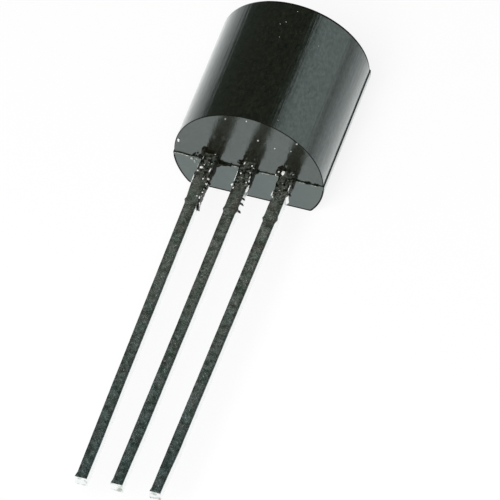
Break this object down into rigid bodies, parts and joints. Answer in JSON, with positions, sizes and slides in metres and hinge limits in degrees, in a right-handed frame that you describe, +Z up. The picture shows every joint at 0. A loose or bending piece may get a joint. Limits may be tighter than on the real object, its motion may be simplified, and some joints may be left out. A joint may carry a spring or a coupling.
{
  "type": "to-92 transistor",
  "caption": "Small through-hole transistor: glossy D-shaped epoxy body with a flat side, moulded on a stamped, tinned leadframe whose straight leads leave one end in a row.",
  "frame": {"origin": "middle of the flat face of the body, which the part lies on", "axes": "+X across the row of leads, +Y along the body from the lead tips to the closed end, +Z up from the flat to the round side"},
  "size_m": [0.0048, 0.0175, 0.0038],
  "materials": {
    "epoxy": "glossy moulded epoxy, nearly black",
    "tinned_strip": "satin tin plating with fine scratches",
    "bond_film": "silver-filled film",
    "silicon": "polished silicon",
    "gold_wire": "bright drawn gold"
  },
  "bodies": {
    "root": {"moulded_body": "epoxy", "collector_lead": "tinned_strip", "base_lead": "tinned_strip", "emitter_lead": "tinned_strip", "die_bond_film": "bond_film", "transistor_die": "silicon", "base_bond_wire": "gold_wire", "emitter_bond_wire": "gold_wire"}
  },
  "joints": []
}
